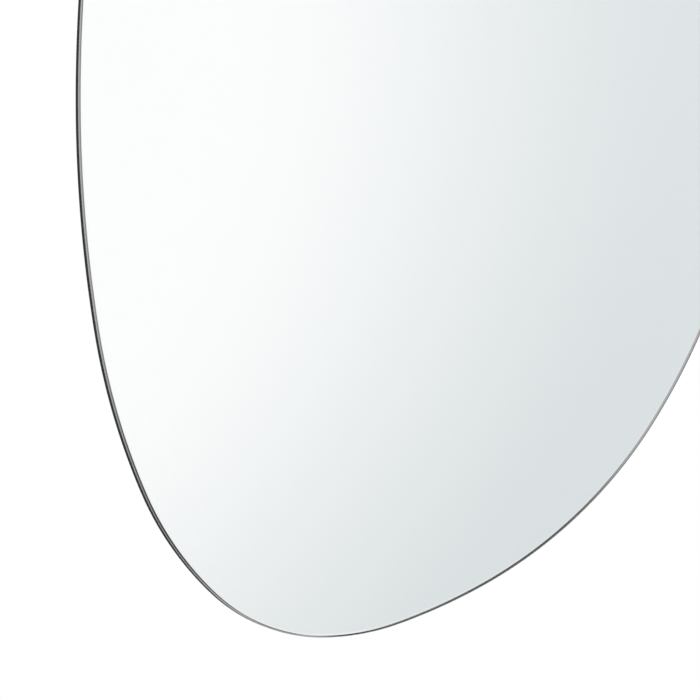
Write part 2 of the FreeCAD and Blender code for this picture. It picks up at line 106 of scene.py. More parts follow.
class Graph:
    """The nodes of one tree."""

    def __init__(self, tree):
        self.tree = tree
        tree.nodes.clear()

    def node(self, kind, settings=None, sockets=None, out=0):
        """Add a node: its settings first, then its sockets' values or links. Gives an output."""
        made = self.tree.nodes.new(kind)
        for name, value in (settings or {}).items():
            if name == "choices":
                while len(made.index_switch_items) < value:
                    made.index_switch_items.new()
            else:
                setattr(made, name, value)
        for name, value in (sockets or {}).items():
            if isinstance(value, Level):
                value = value.socket
            if isinstance(value, bpy.types.NodeSocket):
                self.tree.links.new(value, made.inputs[name])
            else:
                made.inputs[name].default_value = value
        return made.outputs[out] if made.outputs else made

    def level(self, kind, settings=None, sockets=None, out=0):
        """A node whose output is a number."""
        return Level(self, self.node(kind, settings, sockets, out))

    def math(self, operation, *values):
        return self.level("ShaderNodeMath", {"operation": operation}, dict(enumerate(values)))

    def vector_math(self, operation, *vectors, out=0):
        return self.node("ShaderNodeVectorMath", {"operation": operation},
                         dict(enumerate(vectors)), out)

    def smooth_step(self, value, start, end):
        """0 at start and 1 at end, eased at both; start may be above end."""
        return self.level(
            "ShaderNodeMapRange", {"interpolation_type": "SMOOTHSTEP"},
            {"Value": value, "From Min": start, "From Max": end})

    def mix(self, mask, first, second):
        """One colour where the mask is 0, the other where it is 1."""
        return self.node(
            "ShaderNodeMix", {"data_type": "RGBA"},
            {"Factor": mask, MIX_FIRST: first, MIX_SECOND: second}, MIX_RESULT)


class Finish(Graph):
    """A material: a Principled shader and what changes over its surface."""

    def __init__(self, name, **sockets):
        self.material = bpy.data.materials.new(name)
        self.material.use_nodes = True
        super().__init__(self.material.node_tree)
        self.shader = self.tree.nodes.new("ShaderNodeBsdfPrincipled")
        self.output = self.node("ShaderNodeOutputMaterial", None,
                                {"Surface": self.shader.outputs[0]})
        for socket, value in sockets.items():
            self.shader.inputs[socket.replace("_", " ")].default_value = value

    def feed(self, **sockets):
        """Link what changes over the surface to the shader. Gives the finished material."""
        for socket, value in sockets.items():
            source = value.socket if isinstance(value, Level) else value
            self.tree.links.new(source, self.shader.inputs[socket.replace("_", " ")])
        return self.material

    def place(self, stretch=(1, 1, 1)):
        """Object coordinates in millimetres, squeezed along each axis by stretch."""
        coordinates = self.node("ShaderNodeTexCoord", out="Object")
        return self.vector_math("MULTIPLY", coordinates, [part / MM for part in stretch])

    def noise(self, place, scale, detail=2.0, roughness=0.5):
        """Soft noise from 0 to 1. scale is how many lumps there are to a millimetre."""
        return self.level(
            "ShaderNodeTexNoise", None,
            {"Vector": place, "Scale": scale, "Detail": detail, "Roughness": roughness})

    def cells(self, place, scale):
        """Distance to the nearest of scattered points, as foam cells and crystals have."""
        return self.level("ShaderNodeTexVoronoi", None,
                          {"Vector": place, "Scale": scale}, "Distance")

    def attribute(self, name):
        """A number stored on the mesh."""
        return self.level("ShaderNodeAttribute", {"attribute_name": name}, out="Fac")

    def bump(self, height, depth):
        """A normal from a height of 0 to 1 that stands for depth in millimetres."""
        return self.node("ShaderNodeBump", None, {"Height": height, "Distance": depth * MM})


class Former(Graph):
    """Geometry Nodes that form one piece in the plane of the wall.

    A path runs anticlockwise in X and Y, as the mirror is seen from the front. A profile's
    first number points out of the path and its second away from the viewer. stand() turns the
    piece upright, so that Y becomes the height and the profile's second number the depth.
    """

    def __init__(self, name):
        super().__init__(bpy.data.node_groups.new(name, "GeometryNodeTree"))
        for way in ("INPUT", "OUTPUT"):
            self.tree.interface.new_socket(
                "Geometry", in_out=way, socket_type="NodeSocketGeometry")
        self.entry = self.tree.nodes.new("NodeGroupInput")
        self.base = self.entry.outputs["Geometry"]
        self.values = {}

    def size(self, name, value, kind="NodeSocketFloat"):
        """A named input of the tree, and the value that its modifier gives it."""
        socket = self.tree.interface.new_socket(name, in_out="INPUT", socket_type=kind)
        self.values[socket.identifier] = value
        return Level(self, self.entry.outputs[name])

    def steps(self, name, value):
        return self.size(name, value, "NodeSocketInt")

    def choose(self, kind, choices):
        """The choice whose number is the point's own."""
        sockets = {str(number): choice for number, choice in enumerate(choices)}
        sockets["Index"] = self.node("GeometryNodeInputIndex")
        return self.node("GeometryNodeIndexSwitch",
                         {"data_type": kind, "choices": len(choices)}, sockets)

    def line(self, corners, steps, closed=False):
        """A line through corners (across, along, rounding)."""
        spots = [self.node("ShaderNodeCombineXYZ", None, {"X": across, "Y": along})
                 for across, along, _ in corners]
        start = self.node("GeometryNodeMeshLine", None, {"Count": len(corners)})
        placed = self.node("GeometryNodeSetPosition", None, {
            "Geometry": start, "Position": self.choose("VECTOR", spots)})
        curve = self.node("GeometryNodeMeshToCurve", None, {"Mesh": placed})
        curve = self.node("GeometryNodeSetSplineCyclic", None,
                          {"Geometry": curve, "Cyclic": closed})
        return self.node("GeometryNodeFilletCurve", {"mode": "POLY"}, {
            "Curve": curve, "Count": steps, "Limit Radius": True,
            "Radius": self.choose("FLOAT", [rounding for _, _, rounding in corners])})

    def circle(self, radius, steps):
        return self.node("GeometryNodeCurvePrimitiveCircle", None,
                         {"Resolution": steps, "Radius": radius})

    def sweep(self, path, profile):
        return self.node("GeometryNodeCurveToMesh", None,
                         {"Curve": path, "Profile Curve": profile})

    def turned(self, corners, sides, steps):
        """A turned piece from corners (radius, depth, rounding), the first and last on its axis."""
        hub = self.size("Hub radius", HUB_RADIUS)
        profile = self.line([(radius - hub, depth, rounding)
                             for radius, depth, rounding in corners], steps)
        turned = self.sweep(self.circle(hub, sides), profile)
        return self.node("GeometryNodeMergeByDistance", None,
                         {"Geometry": turned, "Distance": WELD})

    def stand(self, geometry):
        return self.node("GeometryNodeTransform", None,
                         {"Geometry": geometry, "Rotation": Euler((QUARTER, 0, 0))})

    def at_seats(self, geometry):
        """A copy at each point of the base, turned about Y by the point's own angle."""
        turn = self.node("GeometryNodeInputNamedAttribute", {"data_type": "FLOAT"},
                         {"Name": TURN})
        rotation = self.node("FunctionNodeAxisAngleToRotation", None,
                             {"Axis": TOWARD_WALL, "Angle": turn})
        return self.node("GeometryNodeInstanceOnPoints", None, {
            "Points": self.node("GeometryNodeMeshToPoints", None, {"Mesh": self.base}),
            "Instance": geometry, "Rotation": rotation})

    def make(self, name, geometry, finish, base):
        """Run the tree on a base mesh and keep its result as a plain piece."""
        whole = self.node("GeometryNodeRealizeInstances", None, {"Geometry": geometry})
        smooth = self.node("GeometryNodeSetShadeSmooth", None, {"Geometry": whole})
        dressed = self.node("GeometryNodeSetMaterial", None,
                            {"Geometry": smooth, "Material": finish})
        self.node("NodeGroupOutput", None, {"Geometry": dressed})
        piece = add_object(name, base)
        modifier = piece.modifiers.new("form", "NODES")
        modifier.node_group = self.tree
        for identifier, value in self.values.items():
            modifier[identifier] = value
        result = piece.evaluated_get(bpy.context.evaluated_depsgraph_get())
        plain = bpy.data.meshes.new_from_object(result)
        piece.modifiers.remove(modifier)
        piece.data = plain
        if not plain.polygons:
            raise RuntimeError(name + " came out empty")
        return piece


def grey(value):
    return (value, value, value, 1.0)


def colour(prop, share=1.0):
    """A colour property as a shader's colour, darker or lighter by a share."""
    return (*(part * share for part in prop), 1.0)


def add_object(name, data):
    """A new object in the scene, at the origin."""
    made = bpy.data.objects.new(name, data)
    bpy.context.collection.objects.link(made)
    return made


def dress(node, finish):
    """Give a node of the frame a material."""
    node.data.materials.clear()
    node.data.materials.append(finish)


# ---------------------------------------------------------------- sizes and colours

def length(name, description, millimetres):
    return bpy.props.FloatProperty(
        name=name, description=description, default=millimetres * MM, min=0.0, unit="LENGTH")


def shade(name, description, default):
    return bpy.props.FloatVectorProperty(
        name=name, description=description, default=default, subtype="COLOR",
        size=3, min=0.0, max=1.0)


class MirrorSizes(bpy.types.PropertyGroup):
    """Sizes of what is shaped here; the rest comes from the frame."""

    rim_steps: bpy.props.IntProperty(
        name="Rim steps", description="Straight steps round the outline", default=720, min=90)
    round_steps: bpy.props.IntProperty(
        name="Round steps", description="Straight steps round a wire or a pad", default=40, min=8)
    bend_steps: bpy.props.IntProperty(
        name="Bend steps", description="Straight steps in a small rounding", default=6, min=1)
    rim_margin: length("Rim margin", "How far the smooth rim stays inside the frame's", 0.02)
    arris_width: length("Arris width", "Front arris, across the glass", 1.8)
    arris_depth: length("Arris depth", "Front arris, into the glass", 1.4)
    arris_rounding: length("Arris rounding", "Where the face runs into the arris", 0.9)
    rear_arris: length("Rear arris", "Fine arris behind", 0.5)
    edge_rounding: length("Edge rounding", "Radius on the glass's other corners", 0.15)
    band_thickness: length("Band thickness", "Edge band round the board", 0.6)
    band_rounding: length("Band rounding", "Radius on the band's corners", 0.25)
    glue_height: length("Bumper glue", "Clear adhesive disc under a bumper", 0.4)
    dish_depth: length("Bumper dish", "Hollow in the middle of a bumper's face", 0.6)
    sheet_gauge: length("Strap gauge", "Thickness of the folded sheet", 0.94)
    sheet_rounding: length("Strap edge", "Radius on the edges of the sheet", 0.12)
    strap_end_radius: length("Strap end", "Radius on the corners of the strap's end", 5.0)
    loop_bore: length("Loop bore", "Inner radius of the loop round the ring's bar", 1.6)
    loop_neck: length("Loop neck", "Bend from the loop to the upper leaf", 0.9)
    screw_drop: length("First screw", "From the ring's bar to the first screw", 13.0)
    screw_pitch: length("Screw pitch", "From one screw to the next", 18.0)
    hole_radius: length("Hole radius", "Screw hole in the strap", 2.0)
    head_radius: length("Head radius", "Screw head and its countersink", 3.4)
    shank_radius: length("Shank radius", "Screw shank", 1.55)
    tip_length: length("Tip length", "Pointed end of a screw", 2.5)
    recess_arm: length("Recess arm", "Cross recess, from the middle to the end of an arm", 1.9)
    recess_half: length("Recess half width", "Half the width of an arm", 0.42)
    recess_depth: length("Recess depth", "Cross recess, into the head", 1.1)
    wire_radius: length("Wire radius", "Ring wire", 1.5)
    ring_half_width: length("Ring half width", "From the middle of the ring to its wire", 9.5)
    ring_corner: length("Ring corner", "Radius where the bar meets the legs", 3.0)
    ring_leg: length("Ring leg", "Straight stretch between corner and bow", 4.0)
    ring_crown: length("Ring crown", "Half the straight stretch at the top of the bow", 0.1)


class MirrorFinishes(bpy.types.PropertyGroup):
    """Colours of the mirror's own materials."""

    glass_tint: shade("Glass tint", "Colour that a metre of the glass lets through",
                      (0.62, 0.80, 0.72))
    silver: shade("Silver", "Silvering behind the glass", (0.975, 0.98, 0.975))
    board: shade("Board", "Dyed fibreboard", (0.052, 0.052, 0.055))
    band: shade("Edge band", "Matt band round the board", (0.012, 0.012, 0.013))
    zinc: shade("Zinc", "Zinc plating on straps and screws", (0.70, 0.72, 0.74))
    nickel: shade("Nickel", "Plating on the rings", (0.74, 0.72, 0.68))
    bumper: shade("Bumper", "Soft wall bumpers", (0.125, 0.125, 0.13))
    foam: shade("Foam", "Foam tape between glass and board", (0.10, 0.10, 0.105))
    film: shade("Film", "Safety film behind the glass", (0.30, 0.31, 0.32))


# ---------------------------------------------------------------- finishes

GLASS_IOR = 1.52
GLASS_DENSITY = 3.0


def glass_finish(looks):
    """Float glass: clear on its faces, a trace of grinding left on its edge."""
    finish = Finish("clear_glass", Base_Color=grey(1.0), Transmission_Weight=1.0, IOR=GLASS_IOR)
    volume = finish.node("ShaderNodeVolumeAbsorption", None, {
        "Color": colour(looks.glass_tint), "Density": GLASS_DENSITY})
    finish.tree.links.new(volume, finish.output.inputs["Volume"])
    strokes = finish.noise(finish.place((1.0, 6.0, 1.0)), 1.2, 3.0)
    return finish.feed(Roughness=finish.attribute(GROUND) * (0.015 + strokes * 0.055))


def silver_finish(looks):
    """Silvering, a touch less bright in soft clouds."""
    finish = Finish("silvering", Metallic=1.0, Roughness=0.0)
    clouds = finish.noise(finish.place(), 0.01, 2.0)
    return finish.feed(Base_Color=finish.mix(
        clouds, colour(looks.silver), colour(looks.silver, 0.996)))


def film_finish(looks):
    """Woven safety film."""
    finish = Finish("safety_film", Roughness=0.5)
    place = finish.place()
    thread = finish.level("ShaderNodeTexWave", {"bands_direction": "X"},
                          {"Vector": place, "Scale": 0.6, "Distortion": 0.4})
    cross = finish.level("ShaderNodeTexWave", {"bands_direction": "Z"},
                         {"Vector": place, "Scale": 0.6, "Distortion": 0.4})
    weave = thread * 0.5 + cross * 0.5
    return finish.feed(
        Base_Color=finish.mix(weave, colour(looks.film, 0.8), colour(looks.film)),
        Normal=finish.bump(weave, 0.04))


def foam_finish(looks):
    """Closed-cell foam: small burst cells in a dark skin."""
    finish = Finish("foam_tape", Roughness=0.85)
    cells = finish.cells(finish.place(), 3.0)
    walls = finish.smooth_step(cells, 0.15, 0.55)
    return finish.feed(
        Base_Color=finish.mix(walls, colour(looks.foam, 0.55), colour(looks.foam, 1.3)),
        Normal=finish.bump(walls, 0.12))


def board_finish(looks):
    """Dyed fibreboard: pressed fibres, a few pale ones, and the sander's faint strokes."""
    finish = Finish("fibreboard")
    fibres = finish.noise(finish.place((1.0, 1.0, 0.35)), 2.4, 5.0, 0.7)
    strokes = finish.noise(finish.place((0.04, 1.0, 2.2)), 1.0, 2.0)
    clouds = finish.noise(finish.place(), 0.02, 3.0)
    specks = finish.smooth_step(finish.cells(finish.place((1.0, 1.0, 0.5)), 0.45), 0.16, 0.05)
    pale = finish.smooth_step(fibres, 0.60, 0.74)
    body = finish.mix(clouds, colour(looks.board, 0.5), colour(looks.board, 1.25))
    body = finish.mix(pale * 0.6, body, grey(0.17))
    body = finish.mix(specks * 0.35, body, grey(0.21))
    return finish.feed(
        Base_Color=finish.mix(strokes * 0.35, body, grey(0.085)),
        Roughness=0.70 + fibres * 0.16,
        Normal=finish.bump(fibres * 0.7 + strokes * 0.3, 0.10))


def band_finish(looks):
    """Matt plastic edge band with a fine pressed grain."""
    finish = Finish("edge_band", **{"Specular IOR Level": 0.12})
    grain = finish.noise(finish.place(), 5.0, 3.0)
    return finish.feed(
        Base_Color=finish.mix(grain, colour(looks.band), colour(looks.band, 1.6)),
        Roughness=0.78 + grain * 0.14,
        Normal=finish.bump(grain, 0.012))


def bumper_finish(looks):
    """Moulded soft plastic: a fine spark-eroded texture and a little dust."""
    finish = Finish("soft_bumper")
    grain = finish.noise(finish.place(), 6.0, 3.0, 0.6)
    clouds = finish.noise(finish.place(), 0.25, 5.0, 0.65)
    dust = finish.smooth_step(finish.cells(finish.place(), 1.6), 0.14, 0.06)
    body = finish.mix(clouds, colour(looks.bumper, 0.7), colour(looks.bumper, 1.35))
    return finish.feed(
        Base_Color=finish.mix(dust * 0.4, body, grey(0.34)),
        Roughness=0.36 + grain * 0.2 + clouds * 0.15,
        Normal=finish.bump(grain, 0.03))


def zinc_finish(looks):
    """Zinc plate on rolled sheet: rolling strokes, faint crystals and rubbed patches."""
    finish = Finish("zinc_plate", Metallic=1.0)
    strokes = finish.noise(finish.place((0.25, 1.0, 1.0)), 4.0, 3.0)
    crystals = finish.cells(finish.place(), 0.9)
    rubbed = finish.smooth_step(finish.noise(finish.place(), 0.25, 3.0), 0.45, 0.7)
    body = finish.mix(crystals, colour(looks.zinc, 0.80), colour(looks.zinc, 1.02))
    return finish.feed(
        Base_Color=finish.mix(rubbed * 0.4, body, colour(looks.zinc, 1.15)),
        Roughness=0.34 - rubbed * 0.10 + strokes * 0.12,
        Normal=finish.bump(strokes, 0.006))


def nickel_finish(looks):
    """Nickel on drawn wire: bright, with drawing lines and dull clouds."""
    finish = Finish("nickel_plate", Metallic=1.0)
    lines = finish.noise(finish.place((3.0, 3.0, 0.6)), 2.0, 3.0)
    clouds = finish.noise(finish.place(), 0.5, 3.0)
    return finish.feed(
        Base_Color=finish.mix(clouds, colour(looks.nickel, 0.84), colour(looks.nickel, 1.08)),
        Roughness=0.13 + clouds * 0.14 + lines * 0.05,
        Normal=finish.bump(lines, 0.004))


def screw_finish(looks, head):
    """Bright zinc on a turned head, with painted shade darkening it down in the recess; head is the
    depth of its face.
    """
    finish = Finish("screw_zinc", Metallic=1.0)
    place = finish.place()
    lines = finish.noise(place, 4.0, 3.0)
    clouds = finish.noise(place, 0.9, 2.0)
    depth = finish.level("ShaderNodeSeparateXYZ", None, {"Vector": place}, "Y")
    # painted shade: a mask that grows from the head's face to 0.7 mm down into the cross recess
    recess_shade = finish.smooth_step(depth, head / MM - 0.05, head / MM - 0.7)
    body = finish.mix(clouds, colour(looks.zinc, 0.78), colour(looks.zinc, 1.1))
    return finish.feed(
        # the painted shade darkens the zinc down in the recess, and the same mask makes it rougher
        # there
        Base_Color=finish.mix(recess_shade * 0.8, body, colour(looks.zinc, 0.12)),
        Roughness=0.2 + clouds * 0.16 + recess_shade * 0.3,
        Normal=finish.bump(lines, 0.008))


# ---------------------------------------------------------------- forming pieces

def declare(piece, body, slot, *nodes):
    """The piece rides on a body and stands for nodes, which are hidden; slot is not used."""
    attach(piece, body)
    for node in nodes:
        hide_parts(node)


def corners_at(node, depth):
    """The outline's corners in a layer's mesh at one depth, in order round the layer."""
    near = 0.01 * MM
    found = {(round(corner.co.x, 6), round(corner.co.z, 6))
             for corner in NODES[node].data.vertices if abs(corner.co.y - depth) < near}
    return sorted(found, key=lambda corner: math.atan2(corner[1], corner[0]))


def rim_base(outline):
    """A closed chain of edges in X and Y through the outline's corners."""
    base = bpy.data.meshes.new("rim")
    count = len(outline)
    base.from_pydata([(across, up, 0.0) for across, up in outline],
                     [(index, (index + 1) % count) for index in range(count)], [])
    return base


def seat_base(seats):
    """A mesh with a point at each seat (place, turn)."""
    base = bpy.data.meshes.new("seats")
    base.from_pydata([place for place, _ in seats], [], [])
    turns = base.attributes.new(TURN, "FLOAT", "POINT")
    turns.data.foreach_set("value", [turn for _, turn in seats])
    return base


def smooth_rim(former, sizes):
    """The base's chain as one smooth curve, in even steps."""
    chain = former.node("GeometryNodeMeshToCurve", None, {"Mesh": former.base})
    curve = former.node("GeometryNodeCurveSplineType", {"spline_type": "BEZIER"}, {"Curve": chain})
    curve = former.node("GeometryNodeCurveSetHandles", {"handle_type": "AUTO"}, {"Curve": curve})
    return former.node("GeometryNodeResampleCurve", {"mode": "COUNT"}, {
        "Curve": curve, "Count": former.steps("Rim steps", sizes.rim_steps)})


def close_caps(piece):
    """Fill the open loops of a swept piece with flat faces."""
    plan = bmesh.new()
    plan.from_mesh(piece.data)
    rims = [edge for edge in plan.edges if edge.is_boundary]
    caps = bmesh.ops.holes_fill(plan, edges=rims, sides=0)["faces"]
    for cap in caps:
        cap.smooth = False
    bmesh.ops.recalc_face_normals(plan, faces=plan.faces)
    plan.to_mesh(piece.data)
    plan.free()


# how far in the swept rim reaches before the flat caps, in widths of the arris
CAP_REACH = 2.0
# the least tilt away from flat, as a cosine, of a face that was ground
GROUND_TILT = 0.995


def glass_outline(sizes):
    """The corners of the frame's glass where its front arris ends, on its widest outline."""
    return corners_at("mirror_glass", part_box("mirror_glass")[0][1] + sizes.arris_depth)


def make_glass(sizes, finish):
    """The glass plate: flat faces, a soft front arris, a square edge and a fine rear arris."""
    low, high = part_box("mirror_glass")
    former = Former("glass_plate")
    front, back = former.size("Front", low[1]), former.size("Back", high[1])
    width, depth = former.size("Arris width", sizes.arris_width), former.size(
        "Arris depth", sizes.arris_depth)
    soft, edge = former.size("Arris rounding", sizes.arris_rounding), former.size(
        "Edge rounding", sizes.edge_rounding)
    rear, rim = former.size("Rear arris", sizes.rear_arris), former.size(
        "Rim", -sizes.rim_margin)
    profile = former.line([
        (rim - width * CAP_REACH, front, 0.0),
        (rim - width, front, soft),
        (rim, front + depth, edge),
        (rim, back - rear, edge),
        (rim - rear, back, edge),
        (rim - width * CAP_REACH, back, 0.0),
    ], former.steps("Bend steps", sizes.bend_steps))
    plate = former.sweep(smooth_rim(former, sizes), profile)
    normal = former.node("GeometryNodeInputNormal")
    tilt = former.level("ShaderNodeSeparateXYZ", None, {"Vector": normal}, "Z")
    ground = former.math("LESS_THAN", former.math("ABSOLUTE", tilt), GROUND_TILT)
    plate = former.node("GeometryNodeStoreNamedAttribute", {"domain": "FACE"},
                        {"Geometry": plate, "Name": GROUND, "Value": ground})
    piece = former.make("glass_plate", former.stand(plate), finish, rim_base(glass_outline(sizes)))
    close_caps(piece)
    return piece


def make_band(sizes, finish):
    """The edge band: a thin strip with softened corners right round the board."""
    low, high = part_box("board_edge_band")
    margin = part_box("mirror_glass")[1][0] - high[0] + sizes.rim_margin
    former = Former("edge_band")
    front, back = former.size("Front", low[1]), former.size("Back", high[1])
    outer = former.size("Margin", -margin)
    inner = outer - former.size("Thickness", sizes.band_thickness)
    soft = former.size("Rounding", sizes.band_rounding)
    profile = former.line([
        (inner, front, 0.0), (outer, front, soft), (outer, back, soft), (inner, back, 0.0),
    ], former.steps("Bend steps", sizes.bend_steps), closed=True)
    band = former.sweep(smooth_rim(former, sizes), profile)
    return former.make("edge_band", former.stand(band), finish, rim_base(glass_outline(sizes)))


# ---------------------------------------------------------------- hangers

SHARP_METAL = math.radians(30)
SHARP_SHEET = math.radians(40)
SHARP_PAD = math.radians(40)
SHEET_BEVEL_STEPS = 2


class Hanger:
    """One hanger's own frame: X along the ring's bar, Y to the wall, Z the way the ring stands.

    Its origin is on the board's back, under the middle of the bar.
    """

    def __init__(self, place):
        self.place = place
        self.strap = "hanger_strap_" + place
        self.ring = "hanger_ring_" + place
        self.screws = [f"hanger_screw_{place}_{seat}" for seat in SCREW_SEATS]
        low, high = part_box(self.strap)
        outer = (high[1] - low[1]) / 2
        sideways = high[0] - low[0] > high[2] - low[2]
        if sideways:
            seat = (low[0] + outer, low[1], (low[2] + high[2]) / 2)
        else:
            seat = ((low[0] + high[0]) / 2, low[1], high[2] - outer)
        self.seat = Vector(seat)
        self.turn = -QUARTER if sideways else 0.0
        self.width = high[2] - low[2] if sideways else high[0] - low[0]
        self.length = (high[0] - low[0] if sideways else high[2] - low[2]) - outer
        self.bar_height = outer

    def matrix(self):
        return Matrix.Translation(self.seat) @ Matrix.Rotation(self.turn, 4, TOWARD_WALL)

    def spot(self, depth, drop):
        """A place in the frame, so far from the board and so far below the bar."""
        return self.matrix() @ Vector((0.0, depth, -drop))


def rounded(corners, steps):
    """Points of a line through corners (across, up, rounding), its corners turned to arcs."""
    points = []
    for index, (across, up, rounding) in enumerate(corners):
        spot = Vector((across, up))
        if not rounding or index in (0, len(corners) - 1):
            points.append(spot)
            continue
        before = (Vector(corners[index - 1][:2]) - spot).normalized()
        after = (Vector(corners[index + 1][:2]) - spot).normalized()
        half = before.angle(after) / 2
        centre = spot + (before + after).normalized() * (rounding / math.sin(half))
        start = spot + before * (rounding / math.tan(half)) - centre
        sweep = start.angle_signed(spot + after * (rounding / math.tan(half)) - centre)
        points += [centre + Matrix.Rotation(-sweep * step / steps, 2) @ start
                   for step in range(steps + 1)]
    return [point for index, point in enumerate(points)
            if not index or (point - points[index - 1]).length > WELD]


def beside(points, offset):
    """The same line moved sideways, to the left of its way."""
    moved = []
    for index, point in enumerate(points):
        way = points[min(index + 1, len(points) - 1)] - points[max(index - 1, 0)]
        left = Vector((-way.y, way.x)).normalized()
        moved.append(point + left * offset)
    return moved


def close_solid(plan, name):
    """The plan as an object, with its faces turned outwards."""
    bmesh.ops.recalc_face_normals(plan, faces=plan.faces)
    mesh = bpy.data.meshes.new(name)
    plan.to_mesh(mesh)
    plan.free()
    return add_object(name, mesh)


def prism(name, outline, low, high, lay):
    """A closed solid: an outline of (across, up) points drawn out from low to high.

    lay turns (across, up, out) into a place.
    """
    plan = bmesh.new()
    ends = [[plan.verts.new(lay(point.x, point.y, level)) for point in outline]
            for level in (low, high)]
    count = len(outline)
    for index in range(count):
        follow = (index + 1) % count
        plan.faces.new((ends[0][index], ends[0][follow], ends[1][follow], ends[1][index]))
    for end in ends:
        plan.faces.new(end)
    return close_solid(plan, name)


def cone(name, corners, sides, place):
    """A closed turned solid from (radius, height) corners along Y, standing at a place."""
    plan = bmesh.new()
    rings = []
    for radius, height in corners:
        rings.append([plan.verts.new(place + Vector((
            radius * math.cos(step * math.tau / sides), height,
            radius * math.sin(step * math.tau / sides)))) for step in range(sides)])
    for first, second in zip(rings, rings[1:]):
        for index in range(sides):
            follow = (index + 1) % sides
            plan.faces.new((first[index], first[follow], second[follow], second[index]))
    plan.faces.new(rings[0])
    plan.faces.new(rings[-1])
    return close_solid(plan, name)


def carve(solid, operation, tool):
    """Cut or trim a solid with another, which is used up."""
    modifier = solid.modifiers.new("carve", "BOOLEAN")
    modifier.operation = operation
    modifier.solver = "EXACT"
    modifier.object = tool
    keep_result(solid)
    bpy.data.objects.remove(tool)


def keep_result(piece):
    """Turn a piece's modifiers into its plain mesh."""
    result = piece.evaluated_get(bpy.context.evaluated_depsgraph_get())
    plain = bpy.data.meshes.new_from_object(result)
    piece.modifiers.clear()
    piece.data = plain


def strap_mesh(hanger, sizes):
    """A folded sheet: a lower leaf, a loop round the bar and an upper leaf that lies on it."""
    gauge = sizes.sheet_gauge
    bends = sizes.round_steps // 3
    leaf = hanger.bar_height - sizes.loop_bore
    loop = hanger.bar_height - leaf / 2
    lower, upper, top = leaf / 2, leaf * 3 / 2, hanger.bar_height + loop
    fold = rounded([
        (-hanger.length, lower, 0.0), (loop, lower, loop), (loop, top, loop),
        (-loop, top, loop), (-loop, upper, sizes.loop_neck), (-hanger.length, upper, 0.0),
    ], bends)
    outline = beside(fold, gauge / 2) + beside(fold, -gauge / 2)[::-1]
    half = hanger.width / 2
    sheet = prism("strap", outline, -half, half,
                  lambda along, out, across: (across, out, along))
    end = sizes.strap_end_radius
    plan = rounded([
        (-half - leaf, 2 * loop, 0.0), (-half - leaf, -leaf, 0.0), (-half, -leaf, 0.0),
        (-half, -hanger.length, end), (half, -hanger.length, end), (half, -leaf, 0.0),
        (half + leaf, -leaf, 0.0), (half + leaf, 2 * loop, 0.0),
    ], bends)
    carve(sheet, "INTERSECT", prism("plan", plan, -leaf, 2 * top,
                                    lambda across, along, out: (across, out, along)))
    bore, head = sizes.hole_radius, sizes.head_radius
    face = 2 * leaf
    for number in range(len(SCREW_SEATS)):
        drop = sizes.screw_drop + sizes.screw_pitch * number
        carve(sheet, "DIFFERENCE", cone("hole", [
            (bore, -leaf), (bore, face - head + bore), (head, face), (head, face + leaf),
        ], sizes.round_steps, Vector((0.0, 0.0, -drop))))
    bevel = sheet.modifiers.new("edges", "BEVEL")
    bevel.width = sizes.sheet_rounding
    bevel.segments = SHEET_BEVEL_STEPS
    bevel.limit_method = "ANGLE"
    bevel.angle_limit = SHARP_SHEET
    keep_result(sheet)
    sheet.data.set_sharp_from_angle(angle=SHARP_METAL)
    mesh = sheet.data
    bpy.data.objects.remove(sheet)
    return mesh


def make_straps(hangers, sizes, finish):
    """Each hanger's folded strap, from one mesh."""
    pattern = strap_mesh(hangers[0], sizes)
    for hanger in hangers:
        mesh = pattern.copy()
        mesh.transform(hanger.matrix())
        mesh.materials.clear()
        mesh.materials.append(finish)
        strap = add_object("folded_strap_" + hanger.place, mesh)
        declare(strap, MIRROR_BODY, "zinc_steel", hanger.strap)


def make_rings(hangers, sizes, finish):
    """Each hanger's D-shaped ring of round wire; its bar turns in the strap's loop."""
    for hanger in hangers:
        former = Former("wire_ring")
        half = former.size("Half width", sizes.ring_half_width)
        corner = former.size("Corner", sizes.ring_corner)
        top = corner + former.size("Leg", sizes.ring_leg) + half
        bow = half - former.size("Crown", sizes.ring_crown)
        path = former.line([
            (-half, 0.0, corner), (half, 0.0, corner), (half, top, bow), (-half, top, bow),
        ], former.steps("Path steps", sizes.round_steps // 2), closed=True)
        wire = former.circle(former.size("Wire radius", sizes.wire_radius),
                             former.steps("Round steps", sizes.round_steps))
        ring = former.at_seats(former.stand(former.sweep(path, wire)))
        seats = [(hanger.spot(hanger.bar_height, 0.0), hanger.turn)]
        piece = former.make("wire_ring_" + hanger.place, ring, finish, seat_base(seats))
        declare(piece, "ring_" + hanger.place, "zinc_steel", hanger.ring)


# radii of a four-sided cone that is one wide at the head's face and narrows into it
BLADE_TOP = 1.3 * math.sqrt(2.0)
BLADE_FOOT = 0.7 * math.sqrt(2.0)
# how much further each screw is driven than the one before
SCREW_TURN = math.radians(37)
SCREW_BEND_STEPS = 3


